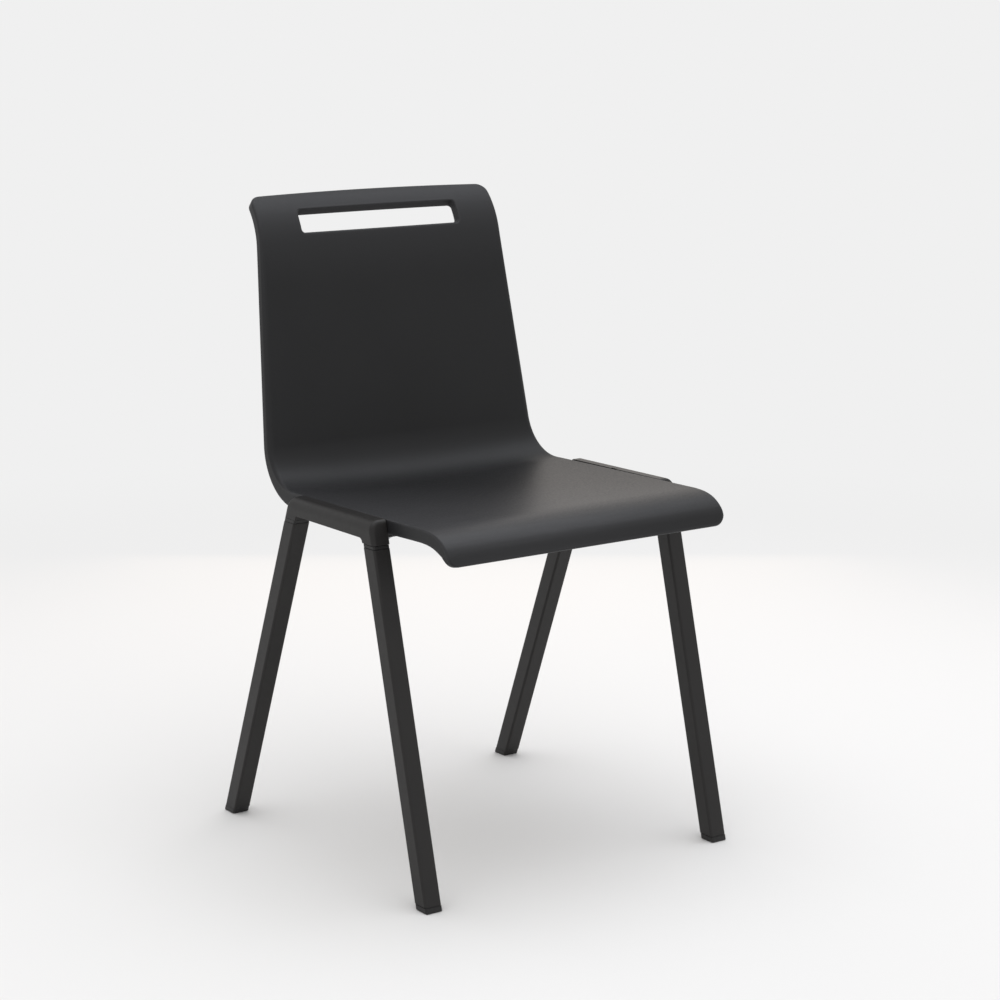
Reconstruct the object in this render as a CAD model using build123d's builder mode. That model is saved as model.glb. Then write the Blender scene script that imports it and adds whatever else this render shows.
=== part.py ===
from build123d import *
from dataclasses import dataclass
from math import cos, radians, sin, tan
import os

# A rigid stacking chair: one moulded shell, two cast side rails outside it, four raked square legs.
# Millimetres. The sitter faces -Y, +Z is up, the floor is z = 0 and x = 0 is the plane of symmetry.
# Right and left are the sitter's: right is -X.

# Shell, drawn as a side line from the front lip to the rolled top
shell_width = 422.0
back_low_inset = 3.5
back_top_inset = 22.5
top_end_inset = 25.5
seat_height = 464.7
seat_front_y = -202.6
seat_run = 303.8
seat_slope = 1.0
fall_radius = 58.0
fall_turn = 43.0
nose_radius = 25.0
nose_turn = 36.0
lip_run = 10.2
bend_radius = 60.0
back_recline = 10.1
back_run = 258.4
roll_radius = 100.0
roll_turn = 43.0
shell_wall = 7.0
roll_wall = 10.5
top_wall = 11.5
rim_width = 8.0
rim_draft = 2.5
lip_rim_depth = 10.0
waterfall_rim_depth = 16.0
front_rim_depth = 17.5
seat_rim_depth = 21.0
back_rim_depth = 15.4
top_rim_depth = 12.0
edge_round = 3.0
bend_edge_round = 5.0
top_edge_round = 2.2
seat_dish = 10.0
back_dish = 6.0
flat_dish = 0.6
lip_corner = 15.0
top_corner = 15.0
top_crown = 4.0
corner_ease = 0.3

# Hand slot through the rolled top
slot_width = 249.0
slot_height = 34.9
slot_corner = 5.0
slot_below_top = 44.7
slot_taper = 9.0

# Legs: square tube, raked fore and aft
tube_side = 24.0
tube_wall = 1.8
tube_corner = 3.0
front_rake = 14.2
rear_rake = 21.6
front_leg_y = -114.1
rear_leg_y = 68.7
foot_height = 7.5
foot_round = 1.4
plug_length = 24.0

# Side rails with a socket and a spigot for each leg
shell_gap = 1.0
rail_proud = 0.1
rail_rear_rise = 0.6
rail_drop = 25.1
rail_top_round = 13.5
rail_inner_round = 1.2
rail_end_round = 3.6
rail_under_round = 1.2
socket_drop = 6.0
socket_round = 5.5
socket_fillet = 7.6
collar_height = 5.2
collar_inset = 0.3
spigot_length = 44.0
notch_length = 10.0
notch_depth = 2.0

# Ledges under the shell, with the bars that tie the rails
ledge_reach = 36.0
ledge_thickness = 4.5
ledge_root = 9.0
rim_clearance = 1.5
bar_width = 30.0
bar_thickness = 6.0
bar_corner = 5.0
bar_inset = 7.0

# Fasteners and their fits
thread = 5.0
fit_gap = 0.15
head_diameter = 9.5
head_height = 2.8
flush_head_diameter = 10.0
bar_screw_short = 0.5
washer_diameter = 14.0
washer_thickness = 1.2
insert_diameter = 8.0
insert_length = 9.0
boss_diameter = 16.0
boss_inset = 22.0
shell_screw_margin = 9.0
shell_screw_grip = 7.3
leg_screw_length = 13.0
leg_screw_drop = 21.0
bar_screw_pitch = 16.0
cut_past = 1.0

# Derived places
shell_half = shell_width / 2
rail_inner = shell_half + shell_gap
leg_x = rail_inner + tube_side / 2
rail_outer = leg_x + tube_side / 2
rail_bottom = seat_height - rail_drop
ledge_inner = rail_inner - ledge_reach
socket_z = rail_bottom - socket_drop
leg_top = socket_z - collar_height
bore_side = tube_side - 2 * tube_wall
bore_corner = tube_corner - tube_wall
plug_side = bore_side - 2 * fit_gap
boss_x = shell_half - boss_inset
bar_half = rail_inner - bar_inset
bar_screw_x = (bar_half + ledge_inner) / 2
lean = {"front": front_rake, "rear": -rear_rake}
bar_screw_length = bar_thickness + ledge_thickness - bar_screw_short
shell_screw_length = washer_thickness + ledge_thickness + shell_screw_grip
socket_y = {"front": front_leg_y, "rear": rear_leg_y}
sides = {"right": -1, "left": 1}
up_from_base = (Align.CENTER, Align.CENTER, Align.MIN)


def seat_edge_z(y):
    """Height of the shell's straight side edge at a place along the seat."""
    return seat_height - (y - seat_front_y) * tan(radians(seat_slope))


def leg_y(end, z):
    """Place of a leg's axis fore and aft at a height."""
    return socket_y[end] + (z - socket_z) * tan(radians(lean[end]))


def leg_face_y(end, z, way):
    """Place of a leg's front (-1) or rear (+1) face at a height."""
    return leg_y(end, z) + way * tube_side / 2 / cos(radians(lean[end]))


# The ledge runs between the sockets, with three shell screws on it and a bar between each two
ledge_front = leg_face_y("front", rail_bottom, 1) + socket_fillet
ledge_rear = leg_face_y("rear", rail_bottom, -1) - rail_under_round
ledge_top = seat_edge_z(ledge_rear) - max(front_rim_depth, seat_rim_depth) - rim_clearance
ledge_bottom = ledge_top - ledge_thickness
first_screw_y = ledge_front + shell_screw_margin
last_screw_y = ledge_rear - shell_screw_margin
middle_y = (first_screw_y + last_screw_y) / 2
shell_screw_ys = (first_screw_y, middle_y, last_screw_y)
bar_y = {"front": (first_screw_y + middle_y) / 2, "rear": (middle_y + last_screw_y) / 2}
shell_screw_points = [(side * boss_x, y) for side in sides.values() for y in shell_screw_ys]
bar_screw_xs = [
    side * (bar_screw_x + way * bar_screw_pitch / 2) for side in sides.values() for way in (-1, 1)
]


def leg_prism(end, side, low, high, across, corner, mode=Mode.ADD):
    """A raked square prism on a leg's axis between two level cuts."""
    angle = radians(lean[end])
    length = (high - low) / cos(angle)
    with BuildSketch(Plane((side * leg_x, leg_y(end, low), low))) as section:
        RectangleRounded(across, across / cos(angle), corner)
    extrude(section.sketch, amount=length, dir=(0, sin(angle), cos(angle)), mode=mode)


@dataclass
class Rim:
    """The shell's cross section at one place on its side line."""

    half_width: float
    depth: float
    edge: float
    dish: float
    wall: float

    def towards(self, other, share):
        """The section a share of the way to another one."""
        return Rim(*(a + (b - a) * share for a, b in zip(vars(self).values(), vars(other).values())))


lip_rim = Rim(shell_half, lip_rim_depth, edge_round, flat_dish, shell_wall)
waterfall_rim = Rim(shell_half, waterfall_rim_depth, edge_round, flat_dish, shell_wall)
front_rim = Rim(shell_half, front_rim_depth, edge_round, flat_dish, shell_wall)
seat_rim = Rim(shell_half, seat_rim_depth, bend_edge_round, seat_dish, shell_wall)
back_rim = Rim(shell_half - back_low_inset, back_rim_depth, bend_edge_round, back_dish, shell_wall)
roll_rim = Rim(shell_half - back_top_inset, top_rim_depth, top_edge_round, flat_dish, roll_wall)
top_rim = Rim(shell_half - top_end_inset, top_rim_depth, top_edge_round, flat_dish, top_wall)

# Side line of the shell's upper face, drawn flat: x is the chair's Y and y is its Z
with BuildLine() as side_line:
    seat_line = PolarLine((seat_front_y, seat_height), seat_run, -seat_slope)
    bend = JernArc(seat_line @ 1, seat_line % 1, bend_radius, 90 - back_recline + seat_slope)
    back_line = PolarLine(bend @ 1, back_run, 90 - back_recline)
    roll = JernArc(back_line @ 1, back_line % 1, roll_radius, -roll_turn)
    fall = JernArc(seat_line @ 0, -(seat_line % 0), fall_radius, fall_turn)
    nose = JernArc(fall @ 1, fall % 1, nose_radius, nose_turn)
    lip_line = Line(nose @ 1, nose @ 1 + lip_run * (nose % 1))


def across_line(edge, share, backwards=False):
    """The plane square to the side line at a share of one of its stretches, normal towards the top."""
    tangent = -(edge % share) if backwards else edge % share
    point = edge @ share
    return Plane((0, point.X, point.Y), x_dir=(1, 0, 0), z_dir=(0, tangent.X, tangent.Y))


def stretch(edge, first, last, steps, backwards=False):
    """Sections spaced evenly along a stretch of the side line, without the one at its far end."""
    shares = [step / steps for step in range(steps)]
    return [
        (across_line(edge, 1 - share if backwards else share, backwards), first.towards(last, share))
        for share in shares
    ]


stations = stretch(lip_line, lip_rim, lip_rim, 1, backwards=True)
stations += stretch(nose, lip_rim, waterfall_rim, 2, backwards=True)
stations += stretch(fall, waterfall_rim, front_rim, 3, backwards=True)
stations += stretch(seat_line, front_rim, seat_rim, 4)
stations += stretch(bend, seat_rim, back_rim, 5)
stations += stretch(back_line, back_rim, roll_rim, 3)
stations += stretch(roll, roll_rim, top_rim, 3)
stations += [(across_line(roll, 1), top_rim)]


def wall_plane(plane):
    """The plane that lies in the wall at a section, with +Y along the wall away from the top."""
    return Plane(plane.origin, x_dir=plane.x_dir, z_dir=plane.y_dir)


# Moulded shell: seat and back in one, with a turned-down rim along both sides
with BuildPart() as seat_shell:
    for plane, rim in stations:
        face_x = rim.half_width - rim.edge
        under_x = rim.half_width - rim_width - rim_draft
        chord = rim.edge * sin(radians(45))
        with BuildSketch(plane):
            with BuildLine():
                Spline((-face_x, 0), (0, rim.dish), (face_x, 0))
                for way in (1, -1):
                    ThreePointArc(
                        (way * face_x, 0),
                        (way * (face_x + chord), rim.edge - chord),
                        (way * rim.half_width, rim.edge),
                    )
                    Polyline(
                        (way * rim.half_width, rim.edge),
                        (way * rim.half_width, rim.depth),
                        (way * (rim.half_width - rim_width), rim.depth),
                        (way * under_x, rim.wall),
                    )
                Spline((under_x, rim.wall), (0, rim.wall + rim.dish), (-under_x, rim.wall))
            make_face()
    loft()

    # Straight lip and crowned top, both with rounded corners that cross the side and end faces
    top_spread = (top_end_inset - back_top_inset) / roll.length
    for (plane, rim), inward, crown, corner, spread in (
        (stations[0], -1, 0, lip_corner, 0),
        (stations[-1], 1, top_crown, top_corner, top_spread),
    ):
        reach = crown + 2 * corner
        end_x = rim.half_width + corner_ease
        inner_x = end_x + spread * reach
        end_y = -inward * corner_ease
        corner_y = end_y + inward * crown
        inner_y = inward * reach
        with BuildSketch(wall_plane(plane)):
            with Locations((0, (inner_y - inward * cut_past) / 2)):
                Rectangle(2 * (inner_x + cut_past), reach + cut_past)
            with BuildSketch(mode=Mode.SUBTRACT) as kept:
                with BuildLine():
                    Polyline((-end_x, corner_y), (-inner_x, inner_y), (inner_x, inner_y), (end_x, corner_y))
                    if crown:
                        ThreePointArc((end_x, corner_y), (0, end_y), (-end_x, corner_y))
                    else:
                        Line((end_x, corner_y), (-end_x, corner_y))
                make_face()
                fillet(kept.vertices().filter_by(lambda point: abs(point.Y) < reach / 2), corner)
        extrude(amount=2 * front_rim_depth, both=True, mode=Mode.SUBTRACT)

    # Hand slot, square to the wall at its middle and narrowing towards the rear
    slot_share = 1 - slot_below_top / roll.length
    with BuildSketch(wall_plane(across_line(roll, slot_share))):
        RectangleRounded(slot_width, slot_height, slot_corner)
    extrude(amount=2 * top_rim_depth, taper=slot_taper, mode=Mode.SUBTRACT)

    # Bosses that stand on the rails' ledges, each with a hole for its insert
    for x, y in shell_screw_points:
        with Locations((x, y, ledge_top)):
            boss_height = seat_edge_z(y) - shell_wall / 2 - ledge_top
            Cylinder(boss_diameter / 2, boss_height, align=up_from_base)
            Cylinder(
                insert_diameter / 2 + fit_gap,
                insert_length + fit_gap,
                align=up_from_base,
                mode=Mode.SUBTRACT,
            )


def make_rail(side):
    """A cast side rail: beam, two leg sockets with spigots, and the ledge that carries the shell."""
    front_top = seat_edge_z(leg_y("front", seat_height)) + rail_proud
    rear_top = seat_edge_z(leg_y("rear", seat_height)) + rail_proud + rail_rear_rise
    with BuildPart() as rail:
        with BuildSketch(Plane.YZ.offset(side * rail_inner)):
            with BuildLine():
                FilletPolyline(
                    (leg_face_y("front", socket_z, -1), socket_z),
                    (leg_face_y("front", front_top, -1), front_top),
                    (leg_face_y("rear", rear_top, 1), rear_top),
                    (leg_face_y("rear", socket_z, 1), socket_z),
                    (leg_face_y("rear", socket_z, -1), socket_z),
                    (leg_face_y("rear", rail_bottom, -1), rail_bottom),
                    (leg_face_y("front", rail_bottom, 1), rail_bottom),
                    (leg_face_y("front", socket_z, 1), socket_z),
                    radius=(0, 0, 0, 0, 0, rail_under_round, socket_fillet, 0),
                    close=True,
                )
            make_face()
        extrude(amount=side * tube_side)

        # Rounded along the outer top edge, then over the two ends, then round the inner face
        outward = Axis((0, 0, 0), (side, 0, 0))
        fillet(rail.faces().sort_by(Axis.Z)[-1].edges().sort_by(outward)[-1], rail_top_round)
        for place, radius in ((0, socket_round), (-1, rail_end_round)):
            end_edges = rail.faces().sort_by(Axis.Y)[place].edges().sort_by(Axis.Z)[1:]
            fillet(end_edges.sort_by(outward)[1:], radius)
        inner_edges = rail.faces().sort_by(outward)[0].edges()
        fillet(inner_edges.filter_by(lambda edge: edge.center().Z > rail_bottom + tube_corner), rail_inner_round)

        # Spigots that fill the tops of the leg tubes, tapped from the inner side
        for end in lean:
            leg_prism(end, side, leg_top - spigot_length, socket_z, plug_side, bore_corner)
            screw_z = leg_top - leg_screw_drop
            with Locations((side * (leg_x - tube_side / 2), leg_y(end, screw_z), screw_z)):
                Cylinder(
                    thread / 2 + fit_gap,
                    2 * leg_screw_length + fit_gap,
                    rotation=(0, 90, 0),
                    mode=Mode.SUBTRACT,
                )

        # Ledge under the shell, rooted under the beam and drilled for the shell screws and the bar screws
        ledge_middle = (ledge_front + ledge_rear) / 2
        ledge_length = ledge_rear - ledge_front
        with BuildSketch(Plane.XY.offset(ledge_bottom)):
            with Locations((side * (rail_inner + ledge_inner) / 2, ledge_middle)):
                Rectangle(ledge_reach, ledge_length)
        extrude(amount=ledge_thickness)
        with BuildSketch(Plane.XY.offset(ledge_bottom)):
            with Locations((side * (rail_inner + ledge_root / 2), ledge_middle)):
                Rectangle(ledge_root, ledge_length)
        extrude(amount=rail_bottom + ledge_thickness - ledge_bottom)
        hole_points = [(x, y) for x, y in shell_screw_points if x * side > 0]
        hole_points += [(x, y) for x in bar_screw_xs for y in bar_y.values() if x * side > 0]
        for x, y in hole_points:
            with Locations((x, y, ledge_top)):
                Hole(thread / 2 + fit_gap)

        # Small notch on the inner top edge, half way along
        with Locations((side * rail_inner, middle_y, (front_top + rear_top) / 2)):
            Box(2 * notch_depth, notch_length, 2 * notch_depth, mode=Mode.SUBTRACT)
    return rail


def make_leg(end, side):
    """A raked square tube with level ends and a screw hole in its inner wall."""
    screw_z = leg_top - leg_screw_drop
    with BuildPart() as leg:
        leg_prism(end, side, foot_height, leg_top, tube_side, tube_corner)
        leg_prism(end, side, foot_height, leg_top, bore_side, bore_corner, Mode.SUBTRACT)
        with Locations((side * (leg_x - tube_side / 2), leg_y(end, screw_z), screw_z)):
            Cylinder(thread / 2 + fit_gap, tube_side / 2, rotation=(0, 90, 0), mode=Mode.SUBTRACT)
    return leg


def make_collar(end, side):
    """The thin ring round the spigot, between the socket and the tube."""
    outside = tube_side - 2 * collar_inset
    with BuildPart() as collar:
        leg_prism(end, side, leg_top, socket_z, outside, tube_corner - collar_inset)
        leg_prism(end, side, leg_top, socket_z, bore_side, bore_corner, Mode.SUBTRACT)
    return collar


def make_glide(end, side):
    """A plug foot, flush with the tube and level with the floor."""
    with BuildPart() as glide:
        leg_prism(end, side, 0, foot_height, tube_side, tube_corner)
        fillet(glide.faces().sort_by(Axis.Z)[0].edges(), foot_round)
        leg_prism(end, side, foot_height, foot_height + plug_length, plug_side, bore_corner)
    return glide


def make_bar(end):
    """A flat bar under the ledges, countersunk from below."""
    with BuildPart() as bar:
        with BuildSketch(Plane.XY.offset(ledge_bottom - bar_thickness)):
            with Locations((0, bar_y[end])):
                RectangleRounded(2 * bar_half, bar_width, bar_corner)
        extrude(amount=bar_thickness)
        for x in bar_screw_xs:
            with Locations(Plane((x, bar_y[end], ledge_bottom - bar_thickness), z_dir=(0, 0, -1))):
                CounterSinkHole(
                    thread / 2 + fit_gap,
                    flush_head_diameter / 2 + fit_gap,
                    counter_sink_angle=90,
                )
    return bar


# Screws, washers and inserts, each kind a group
with BuildPart() as cross_bar_screws:
    for x in bar_screw_xs:
        for y in bar_y.values():
            with Locations((x, y, ledge_bottom - bar_thickness)):
                cone_height = (flush_head_diameter - thread) / 2
                Cone(flush_head_diameter / 2, thread / 2, cone_height, align=up_from_base)
                Cylinder(thread / 2, bar_screw_length, align=up_from_base)

with BuildPart() as shell_washers:
    for x, y in shell_screw_points:
        with Locations((x, y, ledge_bottom - washer_thickness)):
            Cylinder(washer_diameter / 2, washer_thickness, align=up_from_base)
            Cylinder(thread / 2 + fit_gap, washer_thickness, align=up_from_base, mode=Mode.SUBTRACT)

with BuildPart() as shell_screws:
    for x, y in shell_screw_points:
        with Locations((x, y, ledge_bottom - washer_thickness)):
            Cylinder(thread / 2, shell_screw_length, align=up_from_base)
        with Locations((x, y, ledge_bottom - washer_thickness - head_height)):
            Cylinder(head_diameter / 2, head_height, align=up_from_base)

with BuildPart() as shell_inserts:
    for x, y in shell_screw_points:
        with Locations((x, y, ledge_top)):
            Cylinder(insert_diameter / 2, insert_length, align=up_from_base)
            Cylinder(thread / 2 + fit_gap, insert_length, align=up_from_base, mode=Mode.SUBTRACT)

with BuildPart() as leg_screws:
    for end in lean:
        for side in sides.values():
            screw_z = leg_top - leg_screw_drop
            seat = Plane(
                (side * (leg_x - tube_side / 2), leg_y(end, screw_z), screw_z),
                z_dir=(side, 0, 0),
            )
            with Locations(seat):
                Cylinder(thread / 2, leg_screw_length, align=up_from_base)
                Cylinder(head_diameter / 2, head_height, align=(Align.CENTER, Align.CENTER, Align.MAX))

pieces = {
    "seat_shell": seat_shell,
    "cross_bar_screws": cross_bar_screws,
    "shell_washers": shell_washers,
    "shell_screws": shell_screws,
    "shell_inserts": shell_inserts,
    "leg_screws": leg_screws,
}
for hand, side in sides.items():
    pieces[f"{hand}_side_rail"] = make_rail(side)
for end in lean:
    pieces[f"{end}_cross_bar"] = make_bar(end)
    for hand, side in sides.items():
        pieces[f"{end}_{hand}_leg"] = make_leg(end, side)
        pieces[f"{end}_{hand}_collar"] = make_collar(end, side)
        pieces[f"{end}_{hand}_glide"] = make_glide(end, side)

os.makedirs("parts", exist_ok=True)
for name, piece in pieces.items():
    piece.part.label = name
    export_step(piece.part, f"parts/{name}.step")
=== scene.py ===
import logging
from dataclasses import dataclass, field
from enum import Enum
from math import atan, cos, pi, radians, sin, tan, tau
from typing import Any, Sequence

import bmesh
import bpy
from mathutils import Matrix, Vector


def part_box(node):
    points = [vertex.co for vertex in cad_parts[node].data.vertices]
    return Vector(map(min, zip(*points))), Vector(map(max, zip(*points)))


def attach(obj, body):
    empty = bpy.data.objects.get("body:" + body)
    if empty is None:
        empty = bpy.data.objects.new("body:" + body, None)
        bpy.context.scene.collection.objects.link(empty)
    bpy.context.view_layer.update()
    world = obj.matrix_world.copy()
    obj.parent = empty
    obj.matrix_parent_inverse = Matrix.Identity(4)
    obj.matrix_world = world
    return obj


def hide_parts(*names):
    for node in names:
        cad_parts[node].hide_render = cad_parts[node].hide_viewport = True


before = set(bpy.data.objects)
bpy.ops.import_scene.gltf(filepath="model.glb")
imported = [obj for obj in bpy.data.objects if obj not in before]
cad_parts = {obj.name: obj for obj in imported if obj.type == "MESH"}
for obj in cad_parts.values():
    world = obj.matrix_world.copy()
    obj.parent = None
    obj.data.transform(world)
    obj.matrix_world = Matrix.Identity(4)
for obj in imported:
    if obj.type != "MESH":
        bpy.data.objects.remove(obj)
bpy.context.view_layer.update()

# The looks of a rigid stacking chair: one moulded shell on two cast rails and four raked square legs.
# Sizes in the classes are millimetres, as on a drawing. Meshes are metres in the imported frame:
# the sitter faces -Y, +Z is up, the floor is z = 0 and x = 0 is the plane of symmetry.
MM = 0.001
BODY = "root"
log = logging.getLogger("stacking_chair")

# A noise texture lies almost wholly between these two values.
NOISE_LOW = 0.3
NOISE_HIGH = 0.7

# A side shorter than this, in millimetres, has no direction to speak of.
SHORTEST = 1e-6

# The signs of a square's four corners across and along the chair, in turn.
QUARTERS = ((1, 1), (-1, 1), (-1, -1), (1, -1))

Span = tuple[float, float]
Point = tuple[float, float]
Grid = list[list[int]]
Block = tuple[int, int, int, int]
Level = tuple[float, float, float]


def linear(code: str) -> tuple[float, float, float, float]:
    """Turns an sRGB hex colour into linear RGBA.

    Args:
        code: Six hex digits after a hash.

    Returns:
        Linear red, green and blue, with an alpha of one.
    """
    channels = [int(code[place:place + 2], 16) / 255 for place in (1, 3, 5)]
    curve = [c / 12.92 if c <= 0.04045 else ((c + 0.055) / 1.055) ** 2.4 for c in channels]
    return curve[0], curve[1], curve[2], 1.0


def per_metre(size_mm: float) -> float:
    """A texture scale whose features measure the given millimetres."""
    return 1 / (size_mm * MM)


def add(
    tree: bpy.types.NodeTree, kind: str, inputs: dict[str | int, Any] | None = None, **settings: Any
) -> bpy.types.Node:
    """Adds a node with its settings, input values and links.

    Args:
        tree: The node tree to add to.
        kind: The node's type name.
        inputs: Values or output sockets by input name or number.
        settings: Properties of the node.

    Returns:
        The new node.
    """
    node = tree.nodes.new(kind)
    for name, value in settings.items():
        setattr(node, name, value)
    for name, value in (inputs or {}).items():
        if isinstance(value, bpy.types.NodeSocket):
            tree.links.new(value, node.inputs[name])
        else:
            node.inputs[name].default_value = value
    return node


def new_material(name: str) -> tuple[bpy.types.Material, bpy.types.NodeTree]:
    """Makes an empty node material.

    Args:
        name: The material's name.

    Returns:
        The material and its cleared node tree.
    """
    material = bpy.data.materials.new(name)
    material.use_nodes = True
    material.node_tree.nodes.clear()
    return material, material.node_tree


def finish_surface(tree: bpy.types.NodeTree, shader: bpy.types.Node) -> None:
    """Links a shader to the material's output."""
    add(tree, "ShaderNodeOutputMaterial", {"Surface": shader.outputs[0]})


@dataclass(frozen=True)
class MouldedPolypropylene:
    """Polypropylene, injection moulded in a spark-eroded tool."""

    name: str = "polypropylene_moulded_spark_eroded"
    shade: str = "#1b1b1c"
    flow_shade: str = "#212122"
    # The pale shade is wear and, on the shell, also painted light on the near front corner, the rounded
    # edges and the top.
    pale_shade: str = "#3d3d3f"
    roughness: float = 0.43
    roughness_spread: float = 0.10
    ior: float = 1.49
    gloss: float = 0.20
    # Painted light, partly wear: the seat grows paler along this way, towards the front corner nearest the
    # camera.
    wear_and_light_way: tuple[float, float, float] = (-0.65, -0.76, 0.0)
    wear_and_light_from: float = -40.0
    wear_and_light_full: float = 250.0
    grain_mm: float = 1.3
    grain_height_mm: float = 0.05
    flow_mm: float = 140.0
    fine_share: float = 2.2
    rub_mm: float = 9.0
    rub_stretch: float = 9.0
    wear_and_light_facing: Span = (-0.3, 1.0)
    streak_range: Span = (-0.5, 1.0)
    # Rounded edges painted paler: partly wear, partly a painted edge highlight.
    edge_mm: float = 7.0
    edge_range: Span = (1.0, 0.85)
    edge_pale_share: float = 0.75
    # The top painted paler: partly wear from hands, partly a painted highlight on the roll.
    grip_and_highlight_from: float = 700.0
    grip_and_highlight_full: float = 815.0
    grip_and_highlight_share: float = 0.36

    def material(self) -> bpy.types.Material:
        """Builds the shell's material.

        Returns:
            The material.
        """
        # The eroded tool leaves an even matte grain that spreads reflections into broad soft bands.
        # Real grain is about 0.1 mm: it is drawn near 1.3 mm, so that it shows at a step away.
        material, tree = new_material(self.name)
        place = add(tree, "ShaderNodeTexCoord").outputs["Object"]
        flow = add(tree, "ShaderNodeTexNoise", {
            "Vector": place, "Scale": per_metre(self.flow_mm), "Detail": 3.0, "Roughness": 0.55})
        grain = add(tree, "ShaderNodeTexVoronoi", {
            "Vector": place, "Scale": per_metre(self.grain_mm), "Randomness": 1.0}, feature="SMOOTH_F1")
        fine = add(tree, "ShaderNodeTexNoise", {
            "Vector": place, "Scale": per_metre(self.grain_mm * self.fine_share), "Detail": 4.0,
            "Roughness": 0.65})
        # Cloth rubs the seat in sideways streaks. The paler zone grows towards the sitter's right front
        # corner, nearest the camera, and never reaches faces turned down: partly wear, partly painted light
        # on faces the lamps leave too dark.
        across = add(tree, "ShaderNodeMapping", {
            "Vector": place, "Scale": (1 / self.rub_stretch, 1.0, 1.0)})
        streak = add(tree, "ShaderNodeTexNoise", {
            "Vector": across.outputs["Vector"], "Scale": per_metre(self.rub_mm), "Detail": 5.0,
            "Roughness": 0.7})
        spot = add(tree, "ShaderNodeVectorMath", {0: place, 1: self.wear_and_light_way}, operation="DOT_PRODUCT")
        worn_and_lit_corner = add(tree, "ShaderNodeMapRange", {
            "Value": spot.outputs["Value"], "From Min": self.wear_and_light_from * MM, "From Max": self.wear_and_light_full * MM})
        normal = add(tree, "ShaderNodeNewGeometry").outputs["Normal"]
        facing = add(tree, "ShaderNodeSeparateXYZ", {0: normal})
        worn_and_lit_faces = add(tree, "ShaderNodeMapRange", {
            "Value": facing.outputs["Z"], "From Min": self.wear_and_light_facing[0], "From Max": self.wear_and_light_facing[1],
            "To Max": worn_and_lit_corner.outputs["Result"]})
        paled = add(tree, "ShaderNodeMapRange", {
            "Value": streak.outputs["Fac"], "From Min": self.streak_range[0],
            "From Max": self.streak_range[1], "To Max": worn_and_lit_faces.outputs["Result"]})
        # The rounded edges are painted paler: partly wear from hands and other chairs, partly a painted
        # edge highlight.
        soft_edge = add(tree, "ShaderNodeBevel", {"Radius": self.edge_mm * MM}, samples=4)
        alike = add(tree, "ShaderNodeVectorMath", {
            0: soft_edge.outputs["Normal"], 1: normal}, operation="DOT_PRODUCT")
        edge = add(tree, "ShaderNodeMapRange", {
            "Value": alike.outputs["Value"], "From Min": self.edge_range[0], "From Max": self.edge_range[1],
            "To Max": self.edge_pale_share})
        worn_and_highlit_edges = add(tree, "ShaderNodeMath", {
            0: paled.outputs["Result"], 1: edge.outputs["Result"]}, operation="MAXIMUM")
        # The top is painted paler: partly wear from hands that lift the chair by its slot, partly a painted
        # highlight on the rolled top.
        height = add(tree, "ShaderNodeSeparateXYZ", {0: place})
        grip_and_highlight = add(tree, "ShaderNodeMapRange", {
            "Value": height.outputs["Z"], "From Min": self.grip_and_highlight_from * MM, "From Max": self.grip_and_highlight_full * MM,
            "To Max": self.grip_and_highlight_share}, interpolation_type="SMOOTHSTEP")
        handled_and_highlit = add(tree, "ShaderNodeMath", {
            0: worn_and_highlit_edges.outputs[0], 1: grip_and_highlight.outputs["Result"]}, operation="MAXIMUM")
        shades = add(tree, "ShaderNodeMix", {
            0: flow.outputs["Fac"], 6: linear(self.shade), 7: linear(self.flow_shade)}, data_type="RGBA")
        # Mixes in the pale shade: wear together with painted light on the near corner, the edges and the
        # top.
        base_tone = add(tree, "ShaderNodeMix", {
            0: handled_and_highlit.outputs[0], 6: shades.outputs[2], 7: linear(self.pale_shade)}, data_type="RGBA")
        rough = add(tree, "ShaderNodeMapRange", {
            "Value": fine.outputs["Fac"], "From Min": NOISE_LOW, "From Max": NOISE_HIGH,
            "To Min": self.roughness - self.roughness_spread / 2,
            "To Max": self.roughness + self.roughness_spread / 2})
        pits = add(tree, "ShaderNodeMath", {0: grain.outputs["Distance"], 1: fine.outputs["Fac"]})
        bump = add(tree, "ShaderNodeBump", {
            "Height": pits.outputs[0], "Distance": self.grain_height_mm * MM, "Strength": 0.6})
        shader = add(tree, "ShaderNodeBsdfPrincipled", {
            "Base Color": base_tone.outputs[2], "Roughness": rough.outputs["Result"], "IOR": self.ior,
            "Specular IOR Level": self.gloss, "Normal": bump.outputs["Normal"]})
        finish_surface(tree, shader)
        return material


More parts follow.
